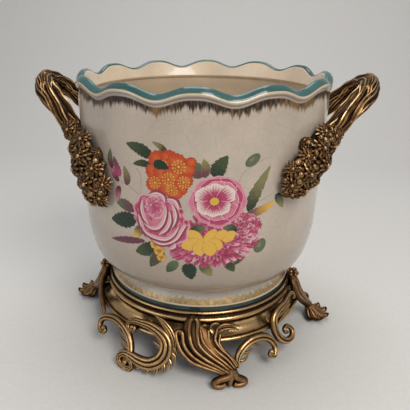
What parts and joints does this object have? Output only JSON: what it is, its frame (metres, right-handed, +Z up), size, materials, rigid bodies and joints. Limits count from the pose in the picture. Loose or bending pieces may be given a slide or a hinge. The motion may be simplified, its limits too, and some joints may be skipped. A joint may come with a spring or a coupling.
{
  "type": "ceramic planter",
  "caption": "Round glazed ceramic planter with a lobed rim, painted flowers, twig-loop bronze handles and a pierced scrolled bronze base on feet.",
  "frame": {"origin": "middle of the planter on the surface that it stands on", "axes": "+Z up, -Y to the front, +X to the right handle"},
  "size_m": [0.3324, 0.2764, 0.2642],
  "materials": {
    "porcelain": "crackle glaze",
    "bronze": "antiqued gilt bronze",
    "fastener": "plain brass",
    "cork": "cork",
    "seal": "matt rubber",
    "strap": "plain steel"
  },
  "bodies": {
    "root": {"ceramic_pot": "porcelain", "base_collar": "bronze", "foot_gasket": "cork", "apron_band": "bronze", "right_leg": "bronze", "left_leg": "bronze", "right_finial": "bronze", "left_finial": "bronze", "front_leg": "bronze", "back_leg": "bronze", "front_left_scroll": "bronze", "back_right_scroll": "bronze", "front_right_scroll": "bronze", "back_left_scroll": "bronze", "front_left_arch": "bronze", "back_right_arch": "bronze", "front_right_arch": "bronze", "back_left_arch": "bronze", "right_handle": "bronze", "left_handle": "bronze", "right_front_cluster": "bronze", "right_back_cluster": "bronze", "left_front_cluster": "bronze", "left_back_cluster": "bronze", "handle_studs": "fastener", "handle_washers": "fastener", "handle_nuts": "fastener", "tie_seal": "seal", "tie_washer": "fastener", "tie_nut": "fastener", "cross_strap": "strap", "tie_bolt": "fastener", "leg_screws": "fastener", "scroll_screws": "fastener"}
  },
  "joints": []
}
